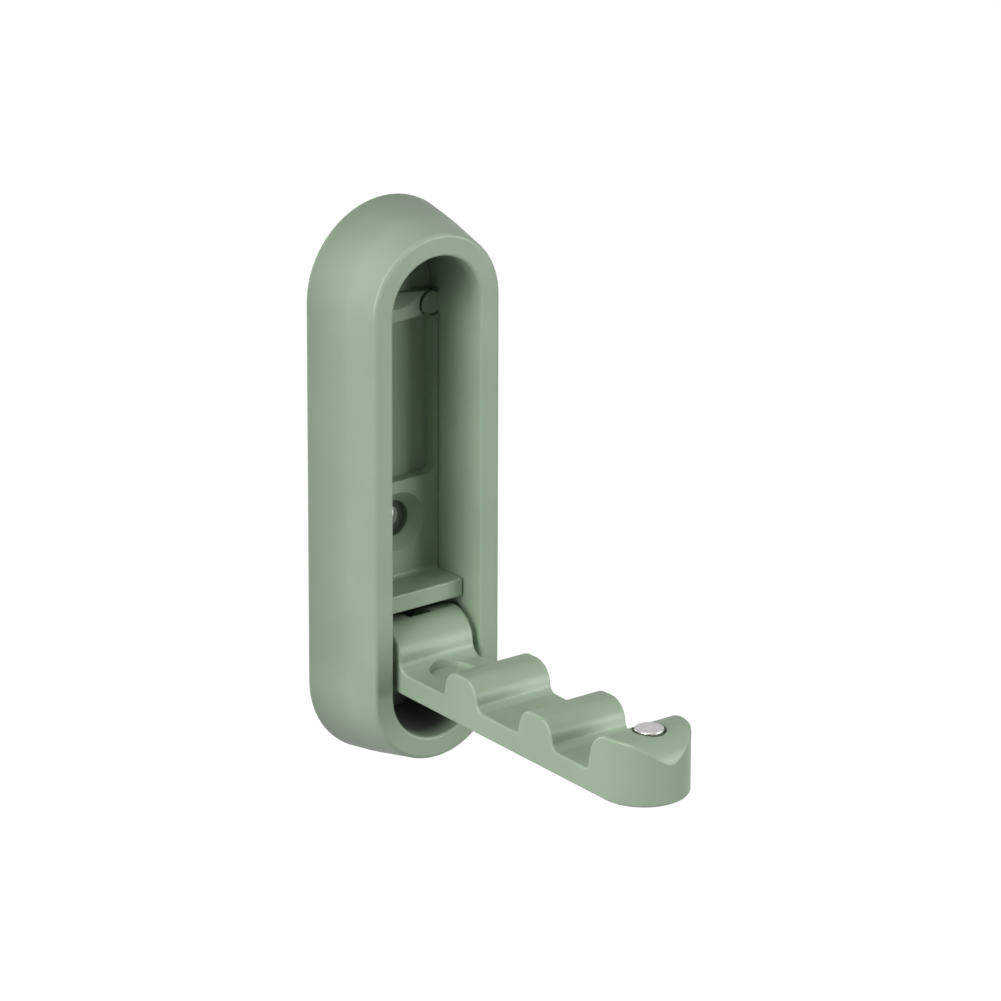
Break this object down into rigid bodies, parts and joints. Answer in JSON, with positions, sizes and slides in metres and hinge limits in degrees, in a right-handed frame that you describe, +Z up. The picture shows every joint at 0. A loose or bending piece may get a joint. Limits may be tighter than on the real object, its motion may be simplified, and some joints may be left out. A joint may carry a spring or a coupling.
{
  "type": "folding wall hook",
  "caption": "Wall hook with a stadium-shaped recessed housing, an arm with grooves that folds up into the recess, and a magnet that holds it closed.",
  "frame": {"origin": "on the wall face, on the housing's vertical centre line, halfway between its top and bottom ends", "axes": "+X to the right seen from the room, +Y into the wall, +Z up; the open arm points along -Y"},
  "size_m": [0.0382, 0.096, 0.1198],
  "materials": {
    "sage_paint": "satin powder coat",
    "nickel": "bright nickel plate",
    "steel": "zinc plated",
    "washer_plastic": "plain"
  },
  "bodies": {
    "wall_body": {"housing": "sage_paint", "back_plate": "sage_paint", "hinge_pin": "steel", "hinge_washer_left": "washer_plastic", "hinge_washer_right": "washer_plastic", "plate_screw_upper_left": "steel", "plate_screw_upper_right": "steel", "plate_screw_lower_left": "steel", "plate_screw_lower_right": "steel"},
    "arm": {"hook_arm": "sage_paint", "tip_magnet": "nickel"}
  },
  "joints": [
    {"name": "arm_fold", "type": "hinge", "parent": "wall_body", "child": "arm", "pos_m": [0, -0.0115, -0.03361], "axis": [-1, 0, 0], "range_deg": [0, 90]}
  ]
}
